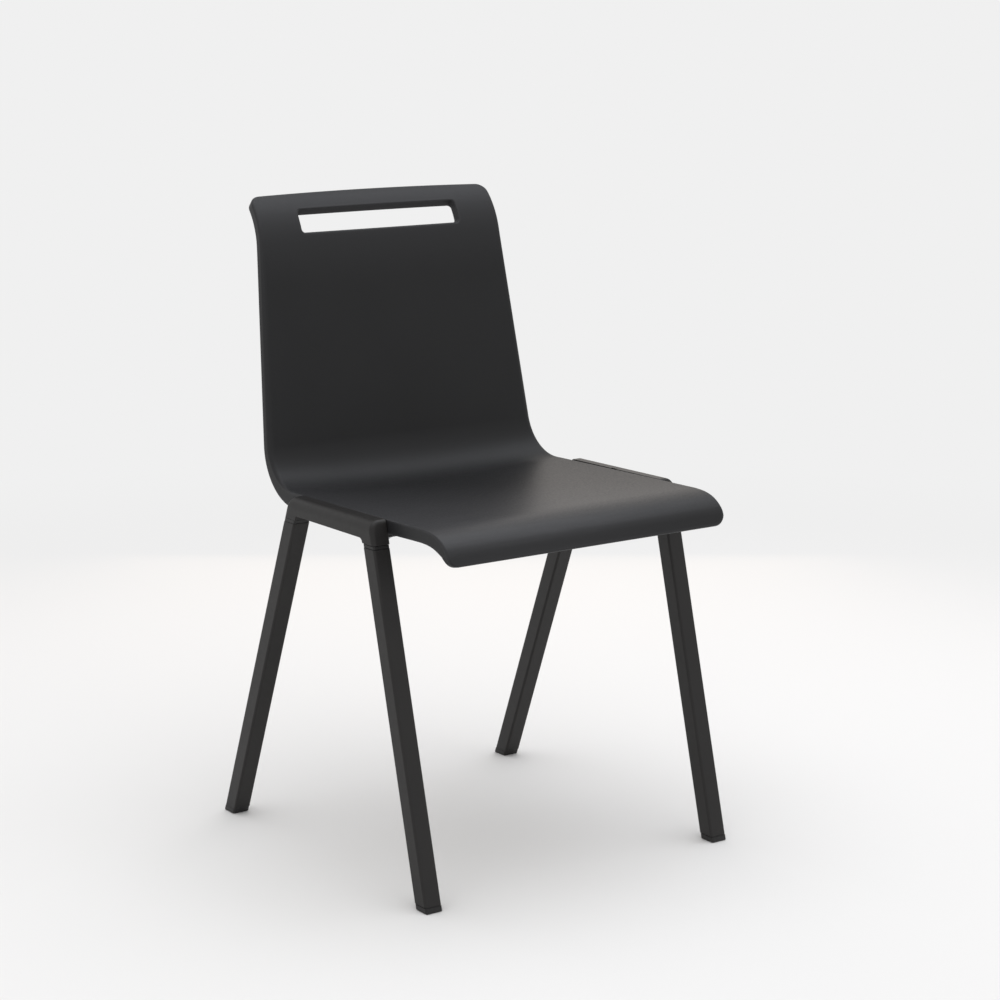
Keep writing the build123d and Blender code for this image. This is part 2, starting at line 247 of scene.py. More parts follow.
@dataclass(frozen=True)
class PowderCoat:
    """Polyester powder coat, sprayed and baked on metal."""

    name: str
    shade: str = "#191818"
    thin_shade: str = "#232120"
    pale_shade: str = "#3a3735"
    roughness: float = 0.44
    roughness_spread: float = 0.08
    ior: float = 1.5
    gloss: float = 0.30
    peel_mm: float = 2.6
    peel_height_mm: float = 0.035
    cloud_mm: float = 60.0
    edge_mm: float = 1.0
    edge_range: Span = (0.99, 0.85)
    edge_pale_share: float = 0.6
    rub_mm: float = 7.0
    rub_range: Span = (0.42, 0.62)

    def material(self) -> bpy.types.Material:
        """Builds the coat's material.

        Returns:
            The material.
        """
        # Baked powder flows into a faint orange peel, thins out at edges and rubs paler there.
        # Real peel is near 1 mm: it is drawn at 2.6 mm, so that it shows at a step away.
        material, tree = new_material(self.name)
        place = add(tree, "ShaderNodeTexCoord").outputs["Object"]
        cloud = add(tree, "ShaderNodeTexNoise", {
            "Vector": place, "Scale": per_metre(self.cloud_mm), "Detail": 4.0, "Roughness": 0.6})
        peel = add(tree, "ShaderNodeTexNoise", {
            "Vector": place, "Scale": per_metre(self.peel_mm), "Detail": 2.0, "Roughness": 0.5})
        patch = add(tree, "ShaderNodeTexNoise", {
            "Vector": place, "Scale": per_metre(self.rub_mm), "Detail": 5.0, "Roughness": 0.7})
        soft_edge = add(tree, "ShaderNodeBevel", {"Radius": self.edge_mm * MM}, samples=4)
        true_normal = add(tree, "ShaderNodeNewGeometry").outputs["True Normal"]
        alike = add(tree, "ShaderNodeVectorMath", {
            0: soft_edge.outputs["Normal"], 1: true_normal}, operation="DOT_PRODUCT")
        edge = add(tree, "ShaderNodeMapRange", {
            "Value": alike.outputs["Value"], "From Min": self.edge_range[0], "From Max": self.edge_range[1],
            "To Max": self.edge_pale_share})
        paled = add(tree, "ShaderNodeMapRange", {
            "Value": patch.outputs["Fac"], "From Min": self.rub_range[0], "From Max": self.rub_range[1],
            "To Max": edge.outputs["Result"]})
        shades = add(tree, "ShaderNodeMix", {
            0: cloud.outputs["Fac"], 6: linear(self.shade), 7: linear(self.thin_shade)}, data_type="RGBA")
        base_tone = add(tree, "ShaderNodeMix", {
            0: paled.outputs["Result"], 6: shades.outputs[2], 7: linear(self.pale_shade)},
            data_type="RGBA")
        rough = add(tree, "ShaderNodeMapRange", {
            "Value": patch.outputs["Fac"], "From Min": NOISE_LOW, "From Max": NOISE_HIGH,
            "To Min": self.roughness - self.roughness_spread / 2,
            "To Max": self.roughness + self.roughness_spread / 2})
        bump = add(tree, "ShaderNodeBump", {
            "Height": peel.outputs["Fac"], "Distance": self.peel_height_mm * MM, "Strength": 0.5,
            "Normal": soft_edge.outputs["Normal"]})
        shader = add(tree, "ShaderNodeBsdfPrincipled", {
            "Base Color": base_tone.outputs[2], "Roughness": rough.outputs["Result"], "IOR": self.ior,
            "Specular IOR Level": self.gloss, "Normal": bump.outputs["Normal"]})
        finish_surface(tree, shader)
        return material


@dataclass(frozen=True)
class MouldedNylon:
    """Nylon, injection moulded: a close satin skin that scuffs paler where it meets the floor."""

    name: str
    shade: str = "#1c1b1b"
    scuffed_shade: str = "#2f2d2c"
    roughness: float = 0.44
    roughness_spread: float = 0.10
    ior: float = 1.53
    gloss: float = 0.30
    grain_mm: float = 1.0
    grain_height_mm: float = 0.03
    scuff_mm: float = 5.0
    scuff_range: Span = (0.4, 0.65)
    scuff_reach_mm: float = 3.0
    scuff_most: float = 0.8

    def material(self) -> bpy.types.Material:
        """Builds the nylon's material.

        Returns:
            The material.
        """
        # Satin black, with pale scuffs that fade a few millimetres above the floor.
        # Real grain is about 0.1 mm: it is drawn at 1 mm, so that it shows at a step away.
        material, tree = new_material(self.name)
        place = add(tree, "ShaderNodeTexCoord").outputs["Object"]
        grain = add(tree, "ShaderNodeTexNoise", {
            "Vector": place, "Scale": per_metre(self.grain_mm), "Detail": 3.0, "Roughness": 0.6})
        scuff = add(tree, "ShaderNodeTexNoise", {
            "Vector": place, "Scale": per_metre(self.scuff_mm), "Detail": 6.0, "Roughness": 0.75})
        height = add(tree, "ShaderNodeSeparateXYZ", {0: place})
        low = add(tree, "ShaderNodeMapRange", {
            "Value": height.outputs["Z"], "From Min": self.scuff_reach_mm * MM, "From Max": 0.0,
            "To Max": self.scuff_most})
        scuffed = add(tree, "ShaderNodeMapRange", {
            "Value": scuff.outputs["Fac"], "From Min": self.scuff_range[0], "From Max": self.scuff_range[1],
            "To Max": low.outputs["Result"]})
        shades = add(tree, "ShaderNodeMix", {
            0: scuffed.outputs["Result"], 6: linear(self.shade), 7: linear(self.scuffed_shade)},
            data_type="RGBA")
        rough = add(tree, "ShaderNodeMapRange", {
            "Value": grain.outputs["Fac"], "From Min": NOISE_LOW, "From Max": NOISE_HIGH,
            "To Min": self.roughness - self.roughness_spread / 2,
            "To Max": self.roughness + self.roughness_spread / 2})
        bump = add(tree, "ShaderNodeBump", {
            "Height": grain.outputs["Fac"], "Distance": self.grain_height_mm * MM, "Strength": 0.5})
        shader = add(tree, "ShaderNodeBsdfPrincipled", {
            "Base Color": shades.outputs[2], "Roughness": rough.outputs["Result"], "IOR": self.ior,
            "Specular IOR Level": self.gloss, "Normal": bump.outputs["Normal"]})
        finish_surface(tree, shader)
        return material


@dataclass(frozen=True)
class PlatedMetal:
    """Small turned or headed metal parts, bright or plated."""

    name: str
    shade: str
    dull_shade: str
    roughness: float = 0.34
    roughness_below: float = 0.07
    roughness_above: float = 0.1
    crystal_mm: float = 1.6
    crystal_reach: float = 0.8
    patch_share: float = 4.0
    turning_mm: float = 0.5
    turning_height_mm: float = 0.02

    def material(self) -> bpy.types.Material:
        """Builds the metal's material.

        Returns:
            The material.
        """
        # Small crystals of the plating break up the reflection, and a few dull patches have tarnished.
        # Real crystals are under 0.1 mm: they are drawn at 1.6 mm, so that they show on a screw's head.
        material, tree = new_material(self.name)
        place = add(tree, "ShaderNodeTexCoord").outputs["Object"]
        crystal = add(tree, "ShaderNodeTexVoronoi", {"Vector": place, "Scale": per_metre(self.crystal_mm)})
        patch = add(tree, "ShaderNodeTexNoise", {
            "Vector": place, "Scale": per_metre(self.patch_share * self.crystal_mm), "Detail": 4.0,
            "Roughness": 0.65})
        turning = add(tree, "ShaderNodeTexNoise", {
            "Vector": place, "Scale": per_metre(self.turning_mm), "Detail": 2.0})
        shades = add(tree, "ShaderNodeMix", {
            0: patch.outputs["Fac"], 6: linear(self.shade), 7: linear(self.dull_shade)}, data_type="RGBA")
        rough = add(tree, "ShaderNodeMapRange", {
            "Value": crystal.outputs["Distance"], "From Max": self.crystal_reach,
            "To Min": self.roughness - self.roughness_below,
            "To Max": self.roughness + self.roughness_above})
        bump = add(tree, "ShaderNodeBump", {
            "Height": turning.outputs["Fac"], "Distance": self.turning_height_mm * MM, "Strength": 0.4})
        shader = add(tree, "ShaderNodeBsdfPrincipled", {
            "Base Color": shades.outputs[2], "Metallic": 1.0, "Roughness": rough.outputs["Result"],
            "Normal": bump.outputs["Normal"]})
        finish_surface(tree, shader)
        return material


@dataclass(frozen=True)
class Section:
    """The shell's cross section at one place on its side line, in millimetres."""

    half_width: float
    rim_depth: float
    edge: float
    dish: float
    wall: float

    def towards(self, other: "Section", share: float) -> "Section":
        """The section a share of the way to another one."""
        pairs = zip(vars(self).values(), vars(other).values())
        return Section(*(a + (b - a) * share for a, b in pairs))

    def dip(self, x: float) -> float:
        """Depth of the dished upper face under its two side edges."""
        return self.dish * max(0.0, 1 - (x / (self.half_width - self.edge)) ** 2)


@dataclass(frozen=True)
class Stretch:
    """One straight or round stretch of the shell's side line.

    A turn is in degrees, positive where the line turns up, and none on a straight stretch.
    """

    length: float
    turn: float
    rows: int
    end: Section

    @classmethod
    def arc(cls, radius: float, turn: float, rows: int, end: Section) -> "Stretch":
        """A round stretch from its radius and turn."""
        return cls(radius * radians(abs(turn)), turn, rows, end)


@dataclass(frozen=True)
class SideLine:
    """The shell's upper face seen from the side, from the front lip to the rolled top."""

    heading: float
    first: Section
    stretches: tuple[Stretch, ...]
    fixed_stretch: int
    fixed_point: Point
    ease: float = 12.0

    @property
    def length(self) -> float:
        """Length of the whole line."""
        return sum(stretch.length for stretch in self.stretches)

    def start_of(self, number: int) -> float:
        """Distance from the lip to the start of a stretch."""
        return sum(stretch.length for stretch in self.stretches[:number])

    def walk(self, distance: float) -> tuple[float, float, float]:
        """Follows the line from its first point.

        Args:
            distance: How far to go from the lip.

        Returns:
            Place fore and aft, height, and heading in radians, counted from the lip.
        """
        y, z, angle, left = 0.0, 0.0, radians(self.heading), distance
        for stretch in self.stretches:
            run = min(left, stretch.length)
            bend = radians(stretch.turn) / stretch.length
            if bend:
                y += (sin(angle + bend * run) - sin(angle)) / bend
                z += (cos(angle) - cos(angle + bend * run)) / bend
                angle += bend * run
            else:
                y, z = y + run * cos(angle), z + run * sin(angle)
            left -= run
        return y + left * cos(angle), z + left * sin(angle), angle

    def point(self, x: float, distance: float, depth: float) -> Vector:
        """A point in the shell's wall, in metres.

        Args:
            x: Place across the chair.
            distance: Distance from the lip along the line.
            depth: Depth into the wall, square to the line.

        Returns:
            The point in the frame.
        """
        y, z, angle = self.walk(distance)
        fixed_y, fixed_z, _ = self.walk(self.start_of(self.fixed_stretch))
        y += self.fixed_point[0] - fixed_y + depth * sin(angle)
        z += self.fixed_point[1] - fixed_z - depth * cos(angle)
        return Vector((x, y, z)) * MM

    def raw_section(self, distance: float) -> Section:
        """The section at a distance from the lip, straight between the ends of a stretch.

        Args:
            distance: Distance from the lip along the line.

        Returns:
            The section there.
        """
        before, left = self.first, max(distance, 0.0)
        for stretch in self.stretches:
            if left <= stretch.length:
                return before.towards(stretch.end, left / stretch.length)
            before, left = stretch.end, left - stretch.length
        return before

    def section(self, distance: float) -> Section:
        """The section at a distance from the lip, eased from stretch to stretch."""
        near = [self.raw_section(distance + step / 2 * self.ease) for step in range(-2, 3)]
        return Section(*(sum(values) / len(near) for values in zip(*(vars(one).values() for one in near))))


def rounded(corners: Sequence[Point], sizes: Sequence[float], steps: int) -> list[Point]:
    """Rounds the inner corners of an open outline.

    Args:
        corners: The outline's points.
        sizes: How far each rounding reaches along its two sides, one for each inner corner.
        steps: Segments in each rounding.

    Returns:
        The rounded outline's points, with both ends.
    """
    points = [corners[0]]
    for before, corner, after, size in zip(corners, corners[1:], corners[2:], sizes):
        b, c, a = Vector(before), Vector(corner), Vector(after)
        inward, outward = b - c, a - c
        # A rounding never passes the middle of a side
        start = c + inward * min(0.5, size / max(inward.length, SHORTEST))
        end = c + outward * min(0.5, size / max(outward.length, SHORTEST))
        for step in range(steps + 1):
            t = step / steps
            points.append(tuple(start * (1 - t) ** 2 + c * 2 * t * (1 - t) + end * t ** 2))
    return points + [corners[-1]]


def strip(faces: list[list[int]], first: Sequence[int], second: Sequence[int]) -> None:
    """Joins two closed loops of vertices with faces.

    Args:
        faces: The list to add to.
        first: Vertex numbers of one loop.
        second: Vertex numbers of the other, in step with it. Repeated vertices give triangles.
    """
    for here in range(len(first)):
        after = (here + 1) % len(first)
        corners = [first[here], second[here], second[after], first[after]]
        face = list(dict.fromkeys(corners))
        if len(face) > 2:
            faces.append(face)


def link_mesh(name: str, mesh: bpy.types.Mesh) -> bpy.types.Object:
    """Makes an object of a mesh and puts it in the scene.

    Args:
        name: The object's name.
        mesh: Its mesh.

    Returns:
        The object.
    """
    piece = bpy.data.objects.new(name, mesh)
    bpy.context.scene.collection.objects.link(piece)
    return piece


def join_levels(builder: bmesh.types.BMesh, levels: list[list[bmesh.types.BMVert]], ring: bool) -> None:
    """Joins closed loops of vertices into one closed skin.

    Args:
        builder: The mesh to add to.
        levels: The loops in order, all with as many vertices.
        ring: Whether the last loop joins the first one, or both ends get a face.
    """
    pairs = list(zip(levels, levels[1:]))
    if ring:
        pairs.append((levels[-1], levels[0]))
    for first, second in pairs:
        for here in range(len(first)):
            after = (here + 1) % len(first)
            builder.faces.new((first[here], first[after], second[after], second[here]))
    if not ring:
        builder.faces.new(levels[0][::-1])
        builder.faces.new(levels[-1])


def stand_for(piece: bpy.types.Object, node: str) -> None:
    """Puts a piece in the place of a node of the frame.

    Args:
        piece: The finished piece.
        node: The node that it replaces.
    """
    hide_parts(node)
    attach(piece, BODY)


def smooth(piece: bpy.types.Object, sharp_angle: float) -> None:
    """Shades a piece smooth, keeps its corners sharp, and lets the flat faces lead.

    Args:
        piece: The piece to shade.
        sharp_angle: The least angle of a sharp edge, in degrees.
    """
    piece.data.shade_smooth()
    piece.data.set_sharp_from_angle(angle=radians(sharp_angle))
    weighted = piece.modifiers.new("flat_faces_lead", "WEIGHTED_NORMAL")
    weighted.keep_sharp = True


@dataclass
class HandSlot:
    """The slot through the rolled top, in millimetres. It narrows towards the rear."""

    half_width: float = 124.5
    height: float = 33.6
    below_top: float = 45.2
    corner: float = 5.0
    margin: float = 9.0
    end_taper: float = 1.8
    upper_drop: float = 4.2
    upper_crown: float = 0.8
    lower_round: float = 3.0
    upper_round: float = 1.1
    end_round: float = 1.5
    rear_round: float = 1.2
    flank: float = 0.4
    corner_steps: int = 4
    middle_columns: int = 20
    middle_rows: int = 4

    def front_round(self, across: float, along: float) -> float:
        """Rounding of the front edge where the slot's wall faces a direction."""
        edge = self.upper_round if along > 0 else self.lower_round
        return edge * along ** 2 + self.end_round * across ** 2


@dataclass
class SeatShell:
    """The moulded seat and back in one, as a closed mesh with a rim all round."""

    finish: MouldedPolypropylene = field(default_factory=MouldedPolypropylene)
    slot: HandSlot = field(default_factory=HandSlot)
    seat_front: Point = (-187.1, 464.4)
    seat_half: float = 211.6
    seat_wall: float = 7.0
    flat_dish: float = 0.6
    lip_heading: float = 78.0
    corner: float = 15.0
    top_crown: float = 4.0
    rim_width: float = 8.0
    rim_draft: float = 2.5
    under_round: float = 1.4
    rim_inner_round: float = 1.2
    rim_root_round: float = 2.5
    margin_shares: Span = (0.6, 0.28)
    corner_steps: int = 8
    edge_steps: int = 6
    under_steps: int = 3
    outer_columns: int = 4
    row_gap: float = 1.0
    boss_radius: float = 8.0
    boss_sides: int = 40
    boss_ease: float = 0.6
    insert_radius: float = 4.0
    insert_gap: float = 0.15
    sharp_angle: float = 40.0
    line: SideLine = field(init=False)
    points: list[Vector] = field(init=False, default_factory=list)
    faces: list[list[int]] = field(init=False, default_factory=list)

    def __post_init__(self) -> None:
        """Draws the side line from the lip to the top."""
        half, wall, dish = self.seat_half, self.seat_wall, self.flat_dish
        lip = Section(half, rim_depth=10.0, edge=3.0, dish=dish, wall=wall)
        nose = Section(half, rim_depth=16.0, edge=3.0, dish=dish, wall=wall)
        front = Section(half, rim_depth=17.5, edge=1.8, dish=dish, wall=wall)
        seat = Section(half, rim_depth=21.0, edge=1.4, dish=10.0, wall=wall)
        back = Section(half_width=208.8, rim_depth=15.4, edge=8.0, dish=6.0, wall=wall)
        roll = Section(half_width=189.2, rim_depth=12.0, edge=4.0, dish=dish, wall=10.5)
        top = Section(half_width=186.2, rim_depth=12.0, edge=3.0, dish=dish, wall=11.5)
        # The fall in front of the flat seat bends more and more towards its nose
        flat_seat = Stretch(length=288.3, turn=0.0, rows=29, end=seat)
        stretches = (
            Stretch(length=10.2, turn=0.0, rows=2, end=lip),
            Stretch.arc(radius=25.0, turn=-36.0, rows=9, end=nose),
            Stretch.arc(radius=50.8, turn=-27.0, rows=11, end=front),
            Stretch.arc(radius=90.0, turn=-11.0, rows=6, end=front),
            Stretch.arc(radius=200.0, turn=-5.0, rows=5, end=front),
            flat_seat,
            Stretch.arc(radius=60.0, turn=80.9, rows=28, end=back),
            Stretch(length=259.6, turn=0.0, rows=26, end=roll),
            Stretch.arc(radius=100.0, turn=-43.0, rows=18, end=top),
        )
        fixed = stretches.index(flat_seat)
        self.line = SideLine(self.lip_heading, lip, stretches, fixed, self.seat_front)

    def slot_span(self) -> tuple[float, float]:
        """Distances from the lip to the slot's lower and upper edge."""
        middle = self.line.length - self.slot.below_top
        return middle - self.slot.height / 2, middle + self.slot.height / 2

    def row_places(self) -> tuple[list[float], int, int]:
        """Distances from the lip of the grid's rows, denser where the line bends.

        Returns:
            The rows, and the first and last row of the block round the slot.
        """
        slot = self.slot
        low, high = self.slot_span()
        block = [low - slot.margin, low + slot.corner, high - slot.corner, high + slot.margin]
        counts = [slot.corner_steps, slot.middle_rows, slot.corner_steps]
        rows, start = [], 0.0
        for stretch in self.line.stretches:
            rows += [start + stretch.length * step / stretch.rows for step in range(stretch.rows)]
            start += stretch.length
        begin, end = self.corner + self.row_gap, block[0] - self.row_gap
        rows = [self.corner] + [row for row in rows if begin < row < end]
        first = len(rows)
        for begin, end, count in zip(block, block[1:], counts):
            rows += [begin + (end - begin) * step / count for step in range(count)]
        return rows + [block[-1], self.line.length - self.corner], first, first + sum(counts)

    def column_places(self) -> tuple[list[float], int, int]:
        """Shares of the half width at which the grid's columns stand.

        Returns:
            The columns, and the first and last column of the block round the slot.
        """
        slot = self.slot
        span = self.line.section(sum(self.slot_span()) / 2).half_width - self.corner
        marks = [0.0, slot.half_width - slot.corner, slot.half_width + slot.margin, span]
        counts = [slot.middle_columns // 2, slot.corner_steps, self.outer_columns]
        right = []
        for begin, end, count in zip(marks, marks[1:], counts):
            right += [(begin + (end - begin) * step / count) / span for step in range(count)]
        right.append(1.0)
        columns = [-share for share in reversed(right[1:])] + right
        return columns, self.outer_columns, len(columns) - 1 - self.outer_columns

    def put(self, x: float, distance: float, depth: float) -> int:
        """Adds a vertex.

        Args:
            x: Place across the chair.
            distance: Distance from the lip.
            depth: Depth into the wall.

        Returns:
            The vertex's number.
        """
        self.points.append(self.line.point(x, distance, depth))
        return len(self.points) - 1

    def crowned(self, x: float, row: float, distance: float) -> float:
        """Draws a distance from the lip back towards the sides, near the crowned top.

        Args:
            x: Place across the chair.
            row: Distance of the grid's row from the lip.
            distance: The distance to draw back.

        Returns:
            The distance on the crowned shell.
        """
        begin, end = self.slot_span()[0] - self.slot.margin, self.line.length - self.corner
        share = min(1.0, max(0.0, (row - begin) / (end - begin)))
        ramp = share * share * (3 - 2 * share)
        return distance - self.top_crown * ramp * (x / self.line.section(distance).half_width) ** 2

    def grid(self, rows: list[float], columns: list[float], block: Block, under: bool) -> Grid:
        """Lays the upper face or the underside as a grid with a gap for the slot.

        Args:
            rows: Distances of the rows from the lip.
            columns: Columns as shares of the half width.
            block: First and last row, first and last column of the gap.
            under: Whether this is the underside.

        Returns:
            Vertex numbers by row and column.
        """
        first_row, last_row, first_column, last_column = block
        numbers = []
        for i, row in enumerate(rows):
            section, line = self.line.section(row), []
            for j, share in enumerate(columns):
                x = share * (section.half_width - self.corner)
                inside = first_row < i < last_row and first_column < j < last_column
                depth = section.dip(x) + (section.wall if under else 0.0)
                line.append(-1 if inside else self.put(x, self.crowned(x, row, row), depth))
            numbers.append(line)
        for i in range(len(rows) - 1):
            for j in range(len(columns) - 1):
                if first_row <= i < last_row and first_column <= j < last_column:
                    continue
                face = [numbers[i][j], numbers[i][j + 1], numbers[i + 1][j + 1], numbers[i + 1][j]]
                self.faces.append(face[::-1] if under else face)
        return numbers

    def outline(self, last_row: int, last_column: int) -> list[tuple[int, int, float, float]]:
        """The way round the grid's edge, with each corner as an arc.

        Args:
            last_row: Number of the last row.
            last_column: Number of the last column.

        Returns:
            Row, column, and the outward direction across and along the chair.
        """
        # Each side comes with its outward direction, in half turns
        sides = [
            ([(0, j) for j in range(last_column + 1)], -0.5),
            ([(i, last_column) for i in range(last_row + 1)], 0.0),
            ([(last_row, j) for j in range(last_column, -1, -1)], 0.5),
            ([(i, 0) for i in range(last_row, -1, -1)], 1.0),
        ]
        way = []
        for cells, turn in sides:
            way += [(i, j, cos(turn * pi), sin(turn * pi)) for i, j in cells]
            for step in range(1, self.corner_steps):
                angle = (turn + 0.5 * step / self.corner_steps) * pi
                way.append((*cells[-1], cos(angle), sin(angle)))
        return way

    def rim_profile(self, section: Section, side_share: float) -> list[tuple[float, float, bool]]:
        """The edge's outline from the upper face round the rim to the underside.

        Args:
            section: The cross section here.
            side_share: One on the sides, none at the lip and the top.

        Returns:
            Inset from the edge, depth, and whether the dish is still to be added to the depth.
        """
        edge = section.edge
        flat = section.half_width - edge
        slope = atan(2 * section.dish / flat) * side_share
        start = edge * (1 + sin(slope))
        lift = section.dip(section.half_width - start) * side_share
        profile = [(start + (self.corner - start) * share, 0.0, True) for share in self.margin_shares]
        for step in range(self.edge_steps + 1):
            angle = -slope + (pi / 2 + slope) * step / self.edge_steps
            profile.append((edge * (1 - sin(angle)), lift + edge * (cos(slope) - cos(angle)), False))
        side_top = profile[-1][1]
        root = self.rim_width + self.rim_draft
        root_dip = section.dip(section.half_width - root)
        inner_dip = section.dip(section.half_width - self.corner)
        under = rounded(
            [
                (0.0, side_top),
                (0.0, section.rim_depth),
                (self.rim_width, section.rim_depth),
                (root, section.wall + root_dip),
                (self.corner, section.wall + inner_dip),
            ],
            (self.under_round, self.rim_inner_round, self.rim_root_round),
            self.under_steps,
        )
        return profile + [(inset, depth, False) for inset, depth in under[1:-1]]

    def rim(self, rows: list[float], columns: list[float], upper: Grid, lower: Grid) -> None:
        """Wraps the rim round the edge, from the upper grid to the lower one.

        Args:
            rows: Distances of the rows from the lip.
            columns: Columns as shares of the half width.
            upper: The upper grid.
            lower: The lower grid.
        """
        way = self.outline(len(rows) - 1, len(columns) - 1)
        loops: list[list[int]] = []
        for i, j, across, along in way:
            section = self.line.section(rows[i] + along * self.corner)
            for number, (inset, depth, dished) in enumerate(self.rim_profile(section, across ** 2)):
                reach = self.corner - inset
                distance = rows[i] + along * reach
                here = self.line.section(distance)
                x = columns[j] * (here.half_width - self.corner) + across * reach
                dip = here.dip(x) if dished else 0.0
                if number == len(loops):
                    loops.append([])
                loops[number].append(self.put(x, self.crowned(x, rows[i], distance), depth + dip))
        loops.insert(0, [upper[i][j] for i, j, _, _ in way])
        loops.append([lower[i][j] for i, j, _, _ in way])
        for first, second in zip(loops, loops[1:]):
            strip(self.faces, first, second)

    def slot_way(self, block: Block) -> list[tuple[int, int, float, float, float, float]]:
        """The way round the block of the slot, each place with its place on the slot's own edge.

        Args:
            block: First and last row, first and last column of the block.

        Returns:
            Row, column, share across and share up the slot's straight edges, and the outward direction.
        """
        first_row, last_row, first_column, last_column = block
        steps = self.slot.corner_steps
        wide, tall = last_column - first_column, last_row - first_row
        # Each side comes with its count of cells and its outward direction, in half turns
        sides = [
            ([(first_row, first_column + k) for k in range(wide)], wide, -0.5),
            ([(first_row + k, last_column) for k in range(tall)], tall, 0.0),
            ([(last_row, last_column - k) for k in range(wide)], wide, 0.5),
            ([(last_row - k, first_column) for k in range(tall)], tall, 1.0),
        ]
        way = []
        for cells, count, turn in sides:
            for k, (i, j) in enumerate(cells):
                bend = (k - steps) / steps if k < steps else max(0.0, (k - count + steps) / steps)
                share = min(1.0, max(0.0, (k - steps) / (count - 2 * steps)))
                angle = (turn + 0.25 * bend) * pi
                along_x, along_s = -sin(turn * pi), cos(turn * pi)
                across = cos(turn * pi) + along_x * (2 * share - 1)
                up = 0.5 + 0.5 * (sin(turn * pi) + along_s * (2 * share - 1))
                way.append((i, j, across, up, cos(angle), sin(angle)))
        return way

    def hand_slot(self, block: Block, upper: Grid, lower: Grid) -> None:
        """Cuts the hand slot's wall between the two grids, with rounded edges.

        Args:
            block: First and last row, first and last column of the gap.
            upper: The upper grid.
            lower: The lower grid.
        """
        slot = self.slot
        low, high = self.slot_span()
        straight = high - low - 2 * slot.corner
        way = self.slot_way(block)
        loops: list[list[int]] = []
        for _, _, share_x, share_s, across, along in way:
            front, rear = slot.front_round(across, along), slot.rear_round
            wall = self.line.section(low + share_s * (high - low)).wall
            profile = [(front + slot.flank * (slot.margin - front), 0.0)]
            for step in range(self.edge_steps + 1):
                angle = pi / 2 * step / self.edge_steps
                profile.append((front * (1 - sin(angle)), front * (1 - cos(angle))))
            profile.append((0.0, (front + wall) / 2))
            for step in range(self.under_steps + 1):
                angle = pi / 2 * step / self.under_steps
                profile.append((rear * (1 - cos(angle)), wall - rear * (1 - sin(angle))))
            profile.append((rear + slot.flank * (slot.margin - rear), wall))
            for number, (offset, depth) in enumerate(profile):
                gone = depth / wall
                reach = slot.corner + offset
                x = share_x * (slot.half_width - slot.corner - slot.end_taper * gone) + across * reach
                distance = low + slot.corner + share_s * (straight - slot.upper_drop * gone) + along * reach
                distance -= slot.upper_crown * share_s * (x / slot.half_width) ** 2
                if number == len(loops):
                    loops.append([])
                loops[number].append(self.put(x, distance, depth + self.line.section(distance).dip(x)))
        loops.insert(0, [upper[i][j] for i, j, *_ in way])
        loops.append([lower[i][j] for i, j, *_ in way])
        for first, second in zip(loops, loops[1:]):
            strip(self.faces, second, first)

    def bosses(self) -> bpy.types.Object:
        """Builds the bosses that stand on the ledges, each bored for its insert.

        Returns:
            One object of six closed bosses, placed by the inserts' own box.
        """
        low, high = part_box("shell_inserts")
        foot, insert = low.z / MM, self.insert_radius
        ys = [low.y / MM + insert, (low.y + high.y) / 2 / MM, high.y / MM - insert]
        hole, bore_top, ease = insert + self.insert_gap, high.z / MM + self.insert_gap, self.boss_ease
        points, faces = [], []
        for x in (low.x / MM + insert, high.x / MM - insert):
            for y in ys:
                top = self.mid_wall_height(x, y)
                outline = [
                    (0.0, bore_top), (hole, bore_top), (hole, foot + ease),
                    (hole + ease, foot), (self.boss_radius - ease, foot), (self.boss_radius, foot + ease),
                    (self.boss_radius, top), (0.0, top),
                ]
                loops = []
                for radius, z in outline:
                    count = self.boss_sides if radius else 1
                    start = len(points)
                    for k in range(count):
                        angle = tau * k / count
                        points.append(Vector((x + radius * cos(angle), y + radius * sin(angle), z)) * MM)
                    loops.append([start + k % count for k in range(self.boss_sides)])
                for first, second in zip(loops, loops[1:]):
                    strip(faces, second, first)
        mesh = bpy.data.meshes.new("shell_bosses")
        mesh.from_pydata(points, [], faces)
        return link_mesh("shell_bosses", mesh)

    def mid_wall_height(self, x: float, y: float) -> float:
        """Finds the height of the middle of the seat's wall.

        Args:
            x: Place across the chair.
            y: Place fore and aft, on the flat seat.

        Returns:
            The height in millimetres.
        """
        distance = self.line.start_of(self.line.fixed_stretch) + y - self.seat_front[0]
        section = self.line.section(distance)
        return self.line.point(x, distance, section.dip(x) + section.wall / 2).z / MM

    def build(self) -> bpy.types.Object:
        """Builds the shell's mesh, unites it with its bosses and dresses it.

        Returns:
            The shell.
        """
        rows, first_row, last_row = self.row_places()
        columns, first_column, last_column = self.column_places()
        block = (first_row, last_row, first_column, last_column)
        upper = self.grid(rows, columns, block, under=False)
        lower = self.grid(rows, columns, block, under=True)
        self.rim(rows, columns, upper, lower)
        self.hand_slot(block, upper, lower)
        mesh = bpy.data.meshes.new("moulded_shell")
        mesh.from_pydata(self.points, [], self.faces)
        shell = link_mesh("moulded_shell", mesh)
        bosses = self.bosses()
        union = shell.modifiers.new("bosses", "BOOLEAN")
        union.operation = "UNION"
        union.solver = "EXACT"
        union.object = bosses
        evaluated = shell.evaluated_get(bpy.context.evaluated_depsgraph_get())
        shell.data = bpy.data.meshes.new_from_object(evaluated)
        shell.modifiers.clear()
        bpy.data.objects.remove(bosses)
        shell.data.name = "moulded_shell"
        shell.data.materials.clear()
        shell.data.materials.append(self.finish.material())
        smooth(shell, self.sharp_angle)
        stand_for(shell, "seat_shell")
        log.info("%s: %d faces", shell.name, len(shell.data.polygons))
        return shell


